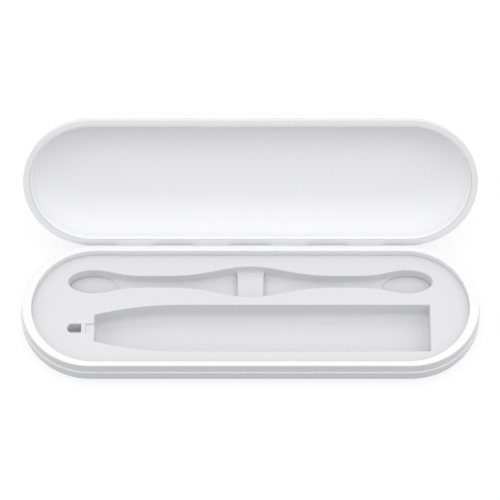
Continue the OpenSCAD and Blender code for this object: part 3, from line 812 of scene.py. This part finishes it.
def groove_stations():
    """Stations (distance from the middle, half width) along one half of the brush head groove."""
    t = bpy.context.scene.tray_sizes

    def half(x):
        if x < t.groove_neck_x:
            swell, share = t.groove_mid_w, 1 - x/t.groove_neck_x
        else:
            swell, share = t.pocket_w, (x - t.groove_neck_x)/(POCKET_X - t.groove_neck_x)
        return (t.groove_neck_w + (swell - t.groove_neck_w)*ramp(share))/2

    edge = t.rest_l/2
    near = [0, edge/2] + [x for x, z in arc(edge - t.rest_edge_r, 0, t.rest_edge_r, pi/2, 0, steps=4)]
    near += [edge + t.draft]
    on = [near[-1] + (POCKET_X - near[-1])*k/GROOVE_STEPS for k in range(1, GROOVE_STEPS)]
    # The tip is a little blunt, so that the outline keeps its two sides
    blunt = 0.4
    turns = [pi/2*k/OVAL_STEPS for k in (*range(OVAL_STEPS), OVAL_STEPS - blunt)]
    oval = [(POCKET_X + t.pocket_l/2*sin(a), t.pocket_w/2*cos(a)) for a in turns]
    return [(x, half(x)) for x in near + on] + oval


def groove_floor(x):
    """Height of the groove's floor at a distance from the middle."""
    t = bpy.context.scene.tray_sizes
    edge = t.rest_l/2
    flat = edge - t.rest_edge_r
    x = abs(x)
    if x <= flat:
        return t.rest_z
    if x <= edge + SAME:
        return t.rest_z - t.rest_edge_r + sqrt(max(0, t.rest_edge_r**2 - (x - flat)**2))
    share = min(1, max(0, (x - edge - t.draft)/(t.groove_neck_x - edge - t.draft)))
    return t.groove_mid_floor + (t.groove_floor - t.groove_mid_floor)*share


def groove_outline(grow):
    """Plan of the whole groove, moved outwards by grow."""
    t = bpy.context.scene.tray_sizes
    half = groove_stations()
    upper = [(-x, y) for x, y in reversed(half[1:])] + half
    return [(x, y + t.groove_y) for x, y in moved_out(there_and_back(upper), grow)]


def hollow(name, plan, floor, fillet, edge, top, draft, grow=0.0, steps=6):
    """A solid of the space in a well: plan(grow) gives its outline and floor(x) its depth.

    The walls lean in by the draft, round into the floor and flare out at the top edge."""
    bm = bmesh.new()
    at_rest = plan(0)
    loops = []
    for k in range(steps + 1):
        a = -pi/2*(1 - k/steps)
        line = plan(grow - draft - fillet*(1 - cos(a)))
        rise = fillet*(1 + sin(a)) - grow
        loops.append([(x, y, floor(base[0]) + rise) for (x, y), base in zip(line, at_rest)])
    if edge:
        # The flare stops short of level, so that the cut leaves a clean edge
        for k in range(steps):
            a = pi/2*k/steps
            loops.append(level(plan(grow + edge*(1 - cos(a))), top - edge*(1 - sin(a))))
        loops.append(level(plan(grow + edge), top + PAST))
    else:
        loops.append(level(plan(grow), top))
    rings = loft(bm, loops)
    rungs(bm, rings[0])
    rungs(bm, rings[-1])
    return piece(name, bm)


def pocket_outline(side):
    """Gives the function for the plan of a pocket, a hair inside the groove's round end."""
    t = bpy.context.scene.tray_sizes
    turns = [pi/2*(k + 0.5)/OVAL_STEPS for k in range(2*OVAL_STEPS)]

    def plan(grow):
        a, b = (size/2 - t.pocket_inset + grow for size in (t.pocket_l, t.pocket_w))
        upper = [(side*POCKET_X - a*cos(turn), b*sin(turn)) for turn in turns]
        return there_and_back(upper, t.groove_y)
    return plan


def slot_outline(grow):
    """Plan of the slot for the shaft: round left end, square right end."""
    t = bpy.context.scene.tray_sizes
    r = t.slot_w/2 + grow
    left = -t.slot_left + t.slot_w/2
    right = -t.slot_left + t.slot_l + grow
    corner = max(0.0, t.edge_r + grow)
    # The tip is a little blunt, so that the outline keeps its two sides
    steps, blunt = 10, 0.2
    turns = [pi/2*(k + blunt)/steps for k in range(steps)]
    upper = [(left - r*cos(turn), r*sin(turn)) for turn in turns]
    upper += [(left, r)] + bend((right - corner, r), (right, r), (right, r - corner))
    return there_and_back(upper, -t.well_y)


class CASE_OT_tray(bpy.types.Operator):
    """Moulded tray with the handle well, the brush head groove and the slot for the shaft"""
    bl_idname = "case.tray"
    bl_label = "Tray"

    def execute(self, context):
        t = context.scene.tray_sizes
        satin = finish("abs_satin_tool")
        plate_z = TRAY_Z - t.plate_t
        edge = t.edge_r/2
        tray_r = TRAY_R + t.reach
        line = eased([(0, plate_z, 0), (tray_r, plate_z, edge), (tray_r, TRAY_Z, edge), (0, TRAY_Z, 0)])
        bm = bmesh.new()
        capped(bm, [level(round_ended(TRAY_X, r), z) for r, z in line[1:-1]])
        tray = piece("moulded_tray", bm)

        well = (well_outline, lambda x: t.well_floor, t.well_fillet)
        groove = (groove_outline, groove_floor, t.groove_fillet)
        slot = (slot_outline, lambda x: t.slot_floor, t.edge_r)
        inside = TRAY_Z - t.plate_t/2
        pockets = [(pocket_outline(side), lambda x: PAD_LOW.z, t.pocket_fillet) for side in (-1, 1)]
        for plan, floor, fillet in (well, groove, slot, *pockets):
            body = hollow("body", plan, floor, fillet + t.wall, 0, inside, 0, t.wall)
            carved(tray, body, "UNION")
        # Web between the slot's body and the well's
        web_w = t.slot_w + 2*t.wall
        slot_right = t.slot_l - t.slot_left
        carved(tray, bar("web", ((slot_right - t.well_left)/2, -t.well_y, (t.slot_floor + inside)/2),
                         (-t.well_left - slot_right, web_w, inside - t.slot_floor)), "UNION")
        for plan, floor, fillet in (well, groove, slot):
            carved(tray, hollow("space", plan, floor, fillet, t.edge_r, TRAY_Z, t.draft))
        for plan, floor, fillet in pockets:
            carved(tray, hollow("space", plan, floor, fillet, 0, PAD_HIGH.z + t.pocket_rise, t.draft/2))
        # Shallow recess between the slot and the well, up from its floor: (moved out, height)
        left, right = slot_right + t.land_w, -t.well_left + 2*t.draft
        low, fillet, flare = TRAY_Z - t.notch_depth, t.notch_fillet, t.notch_flare
        plan = there_and_back([(left, t.slot_w/2), (right, t.slot_w/2)], -t.well_y)
        rise = ((-fillet, low), (-0.3*fillet, low + 0.2*fillet), (0, low + 0.8*fillet),
                (0, TRAY_Z - flare), (flare/3, TRAY_Z - flare/3), (flare, TRAY_Z + PAST))
        bm = bmesh.new()
        capped(bm, [level(moved_out(plan, off), z) for off, z in rise])
        carved(tray, piece("recess", bm))
        finished(tray, "base", "tray_satin", satin, "tray")
        return {"FINISHED"}


class CASE_OT_pads(bpy.types.Operator):
    """Soft oval pads on the floors of the pockets"""
    bl_idname = "case.pads"
    bl_label = "Pads"

    def execute(self, context):
        t = context.scene.tray_sizes
        soft = finish("elastomer_matt")
        for side, node in ((-1, "bristle_pad_left"), (1, "bristle_pad_right")):
            low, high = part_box(node)
            middle, half = (low + high)/2, (high - low)/2
            a, b = half.x - t.draft, half.y - t.draft
            turns = [pi/2*k/OVAL_STEPS for k in range(4*OVAL_STEPS)]
            # Flat underside, soft edge and crowned face: (share of the width, share of the height)
            foot = [(0.93, 0), (1.0, 0.16), (1.0, 0.34)]
            crown = [(0.97*cos(pi*k/16), 0.5 + 0.5*sin(pi*k/16)) for k in range(1, 8)]
            bm = bmesh.new()
            rings = loft(bm, [[(middle.x + share*a*cos(turn), middle.y + share*b*sin(turn),
                                low.z + 2*half.z*up) for turn in turns] for share, up in foot + crown])
            bm.faces.new(rings[0])
            top = bm.verts.new((middle.x, middle.y, high.z))
            for v, on in zip(rings[-1], rings[-1][1:] + rings[-1][:1]):
                bm.faces.new((v, on, top))
            pad = piece(node.replace("bristle_pad", "soft_pad"), bm)
            finished(pad, "base", "pad_soft", soft, node, edge=60)
        return {"FINISHED"}


class CASE_OT_hardware(bpy.types.Operator):
    """Finishes for the pin, its plugs and the magnets, and the four screws"""
    bl_idname = "case.hardware"
    bl_label = "Hardware"

    def execute(self, context):
        c, h, t = context.scene.case_sizes, context.scene.hinge_sizes, context.scene.tray_sizes
        kinds = {"steel_drawn_wire": ("hinge_pin",),
                 "abs_polished_tool": ("pin_plug_left", "pin_plug_right"),
                 "magnet_nickel_plated": ("base_magnet_left", "base_magnet_right", "lid_magnet_left",
                                          "lid_magnet_right")}
        for key, nodes in kinds.items():
            for node in nodes:
                obj = frame["nodes"][node]
                obj.data.materials.clear()
                obj.data.materials.append(finish(key))
        zinc = finish("steel_zinc_plated")
        seat_z = TRAY_Z - t.plate_t - h.head_h - c.seat
        core = h.screw_r - h.thread_depth
        pitch = h.screw_l/h.threads
        # Line of the screw from its tip up: (distance from its axis, height over its seat)
        line = [(core/2, -h.screw_l)]
        for k in range(h.threads):
            low = k*pitch - h.screw_l
            line += [(core, low + 0.2*pitch), (h.screw_r, low + 0.5*pitch), (core, low + 0.8*pitch)]
        flat = h.head_r - h.head_round
        line += [(core, 0), (h.head_r, 0)]
        line += arc(flat, h.head_h*flat/h.head_r, h.head_round, 0, pi/2, steps=5)
        sides = 24
        turns = [2*pi*k/sides for k in range(sides)]
        bm = bmesh.new()
        capped(bm, [[(r*cos(a), r*sin(a), seat_z + min(z, h.head_h)) for a in turns] for r, z in line])
        screw = piece("screw", bm)
        for size in ((h.cross_l, h.cross_w), (h.cross_w, h.cross_l)):
            carved(screw, bar("cross", (0, 0, seat_z + h.head_h), (*size, h.head_h)))
        screws = at_sites("case_screws", screw, zinc)
        finished(screws, "base", "screw_steel", zinc, "rim_screws")
        return {"FINISHED"}


# Parts of the lid

def dome(r, z, side_r, crown_r):
    """Line of a side that rounds over with two arcs, from upright at its foot to level, inwards."""
    turn = bpy.context.scene.lid_sizes.turn
    x = r - side_r
    shift = crown_r - side_r
    low = arc(x, z, side_r, 0, turn, steps=12)
    high = arc(x - shift*cos(turn), z - shift*sin(turn), crown_r, turn, pi/2, steps=14)
    return low + high[1:]


def opened(obj):
    """Turns a piece that was drawn closed to the lid's open place, in its mesh."""
    pin = Matrix.Translation(PIN)
    obj.data.transform(pin @ Matrix.Rotation(-LID_OPEN, 4, "X") @ pin.inverted())
    return obj


class CASE_OT_lid_shell(bpy.types.Operator):
    """Outer shell of the lid, with its flat rim, its arms and knuckles and the magnets' seats"""
    bl_idname = "case.lid_shell"
    bl_label = "Lid Shell"

    def execute(self, context):
        s = context.scene
        c, d, h = s.case_sizes, s.lid_sizes, s.hinge_sizes
        white = finish("abs_polished_tool")
        z = RIM_Z + d.seam
        mouth_r = RIM_R - d.rim_w
        outer = dome(RIM_R, z + d.edge_h, d.side_r, d.crown_r)
        inner_r = RIM_R - d.wall
        inner = dome(inner_r, z + d.edge_h, d.side_r - d.wall, d.crown_r - d.wall)
        ledge = [p for p in inner if p[1] > z + d.rim_t]
        step_r = ledge[0][0]
        face = eased([outer[0] + (0,), (RIM_R, z, d.rim_edge_r), (mouth_r, z, d.split_r),
                      (mouth_r, z + d.rim_t, 0), (step_r, z + d.rim_t, 0)])
        line = [(0, outer[-1][1])] + outer[::-1] + face[1:] + ledge + [(0, inner[-1][1])]
        shell = swept("upper_shell", line, RIM_R, white)

        # Arms that carry the lid's knuckles, seen along the pin
        foot = z - HINGE_Z
        reach = RIM_R - d.wall - HINGE_Y
        top = foot + h.arm_rise
        round_part = arc(0, 0, h.knuckle_r, 0, -3*pi/2, steps=28)
        outline = [(h.knuckle_r, foot + d.rim_t)] + round_part + [(0, foot), (reach, foot), (reach, top),
                                                                  (reach/2, top)]
        arms = knuckle_row(knuckle(outline, knuckle_half(-h.turn_gap), "lid_knuckle"), 1, white)
        carved(shell, arms, "UNION")
        carved(shell, rods("bore", [PIN], h.bore_r, HINGE_REACH + PAST))
        # Bosses on the rim's front, with closed pockets for the magnets
        skin = RIM_Z - MAGNET_HIGH.z - c.seat
        low, high = z + d.rim_t/2, z + skin + MAGNET_SIZE.z + 2*c.seat
        front, back = RIM_R - d.wall/2, mouth_r + c.seat
        for side in (-1, 1):
            x = side*MAGNET_MIDDLE.x
            carved(shell, bar("boss", (x, -(front + back)/2, (low + high)/2),
                              (MAGNET_SIZE.x + 2*d.wall, front - back, high - low)), "UNION")
            carved(shell, bar("pocket", (x, MAGNET_MIDDLE.y, z + skin + MAGNET_SIZE.z/2),
                              [edge + 2*c.seat for edge in MAGNET_SIZE]))
        opened(shell)
        finished(shell, "lid", "case_gloss", white, "lid_shell")
        return {"FINISHED"}


class CASE_OT_lid_liner(bpy.types.Operator):
    """Smooth dish inside the lid, with its sloping lip"""
    bl_idname = "case.lid_liner"
    bl_label = "Lid Liner"

    def execute(self, context):
        s = context.scene
        c, d = s.case_sizes, s.lid_sizes
        # The liner's finish carries a colour lifted above the shell's white, as painted light on the lid's
        # inside
        lightened_liner_finish = finish("abs_smooth_liner")
        z = RIM_Z + d.seam
        mouth_r = RIM_R - d.rim_w
        edge_r = mouth_r - c.seat
        lip_r = edge_r - d.lip_land
        dish_r = lip_r - d.lip_w
        side_r = d.side_r - d.rim_w - c.seat
        shell_rise = d.edge_h + d.crown_r - (d.crown_r - d.side_r)*sin(d.turn)
        rise = shell_rise - d.wall - d.liner_wall - c.seat - d.lip_h
        crown_r = (rise - side_r*sin(d.turn))/(1 - sin(d.turn))
        inner = dome(dish_r, z + d.lip_h, side_r, crown_r)
        outer = dome(dish_r + d.liner_wall, z + d.lip_h, side_r + d.liner_wall, crown_r + d.liner_wall)
        top = z + d.rim_t
        above = [p for p in outer if p[1] > top + SAME]
        lip = eased([inner[0] + (0,), (lip_r, z, d.lip_r), (edge_r, z, d.split_r), (edge_r, top, 0),
                     (above[0][0], top, 0)])
        line = [(0, inner[-1][1])] + inner[::-1] + lip[1:] + above + [(0, outer[-1][1])]
        liner = opened(swept("lid_dish", line, RIM_R, lightened_liner_finish))
        finished(liner, "lid", "liner_gloss", lightened_liner_finish, "lid_liner")
        return {"FINISHED"}


# The stage

def shown(tree):
    """1 for a ray by which the picture shows a thing, straight or in a glossy or clear surface."""
    ray = add(tree, "ShaderNodeLightPath").outputs
    seen = ray["Is Camera Ray"]
    for kind in ("Is Glossy Ray", "Is Transmission Ray"):
        seen = calc(tree, "MAXIMUM", seen, ray[kind])
    return seen


def paper():
    """Matt paper on the floor: white in the picture but for a share of its shading, grey to the case."""
    g = bpy.context.scene.case_stage
    material, tree, place = surface("matt_paper_floor")
    patches = add(tree, "ShaderNodeTexNoise", {"Vector": place, "Scale": PAPER_SCALE})
    rough = add(tree, "ShaderNodeMapRange", {"Value": patches, "To Min": 0.85, "To Max": 0.95})
    grey = [*bpy.context.scene.case_finishes.floor, 1]
    own = add(tree, "ShaderNodeBsdfDiffuse", {"Color": grey, "Roughness": rough})
    shaded = add(tree, "ShaderNodeBsdfDiffuse", {"Color": WHITE, "Roughness": rough})
    glow = add(tree, "ShaderNodeEmission", {"Color": WHITE, "Strength": 1.0})
    picture = add(tree, "ShaderNodeMixShader", {0: g.floor_shade, 1: glow, 2: shaded})
    both = add(tree, "ShaderNodeMixShader", {0: shown(tree), 1: own, 2: picture})
    add(tree, "ShaderNodeOutputMaterial", {"Surface": both})
    return material


def stand_off(obj, target, toward, distance):
    """Stands an object off from what it looks at."""
    obj.location = target + toward*distance
    obj.rotation_euler = toward.to_track_quat("Z", "Y").to_euler()


class CASE_OT_stage(bpy.types.Operator):
    """Camera, lamps, surroundings and floor"""
    bl_idname = "case.stage"
    bl_label = "Stage"

    def execute(self, context):
        s = context.scene
        g = s.case_stage
        s.view_settings.view_transform = "Standard"
        away = Vector((0, -cos(g.elevation), sin(g.elevation)))
        up = Vector((0, sin(g.elevation), cos(g.elevation)))
        data = bpy.data.cameras.new("camera")
        data.lens = g.lens
        scale = g.distance*data.sensor_width/(g.lens*g.photo_px)
        off = Vector(g.centre_px) - Vector((g.photo_px/2, g.photo_px/2))
        middle = Vector((0, 0, RIM_Z))
        s.camera = linked("camera", data)
        stand_off(s.camera, middle + up*off.y*scale - Vector((off.x*scale, 0, 0)), away, g.distance)

        lamp = bpy.data.lights.new("key", "AREA")
        lamp.shape = "RECTANGLE"
        lamp.size, lamp.size_y = g.key_w, g.key_d
        lamp.energy = g.key*pi*g.key_far**2
        toward = Vector((0, -sin(g.key_tilt), cos(g.key_tilt)))
        stand_off(linked("key", lamp), middle, toward, g.key_far)

        world = bpy.data.worlds.new("surroundings")
        s.world = world
        world.use_nodes = True
        tree = world.node_tree
        tree.nodes.clear()
        way = add(tree, "ShaderNodeTexCoord").outputs["Generated"]
        way = add(tree, "ShaderNodeSeparateXYZ", {0: way}).outputs
        above = add(tree, "ShaderNodeMapRange", {"Value": way["Z"], "To Min": g.horizon,
                                                 "To Max": g.zenith})
        square = calc(tree, "MULTIPLY", way["X"], way["X"])
        strength = calc(tree, "MULTIPLY_ADD", square, g.sides, above)
        light = add(tree, "ShaderNodeBackground", {"Color": WHITE, "Strength": strength})
        white = add(tree, "ShaderNodeBackground", {"Color": WHITE, "Strength": 1.0})
        both = add(tree, "ShaderNodeMixShader", {0: shown(tree), 1: light, 2: white})
        add(tree, "ShaderNodeOutputWorld", {"Surface": both})

        bm = bmesh.new()
        bmesh.ops.create_grid(bm, x_segments=1, y_segments=1, size=g.floor_size)
        bmesh.ops.translate(bm, verts=bm.verts, vec=(0, 0, -g.floor_gap))
        floor = piece("floor", bm)
        floor.data.materials.append(paper())
        return {"FINISHED"}


OPERATORS = (CASE_OT_stage, CASE_OT_base_shell, CASE_OT_base_rim, CASE_OT_tray, CASE_OT_pads,
             CASE_OT_hardware, CASE_OT_lid_shell, CASE_OT_lid_liner)


class CASE_PT_panel(bpy.types.Panel):
    """Lists the steps that build the case, and its sizes"""
    bl_idname = "CASE_PT_panel"
    bl_label = "Travel Case"
    bl_space_type = "VIEW_3D"
    bl_region_type = "UI"
    bl_category = "Travel Case"

    def draw(self, context):
        for operator in OPERATORS:
            self.layout.operator(operator.bl_idname)
        for key, group in GROUPS.items():
            box = self.layout.box()
            box.label(text=group.__name__)
            for field in group.__annotations__:
                box.prop(getattr(context.scene, key), field)


def register():
    for cls in (*GROUPS.values(), *OPERATORS, CASE_PT_panel):
        bpy.utils.register_class(cls)
    for key, group in GROUPS.items():
        setattr(bpy.types.Scene, key, PointerProperty(type=group))


def unregister():
    for key in GROUPS:
        delattr(bpy.types.Scene, key)
    for cls in reversed((*GROUPS.values(), *OPERATORS, CASE_PT_panel)):
        bpy.utils.unregister_class(cls)


def main():
    register()
    for operator in OPERATORS:
        group, name = operator.bl_idname.split(".")
        getattr(getattr(bpy.ops, group), name)()


if __name__ == "__main__":
    main()
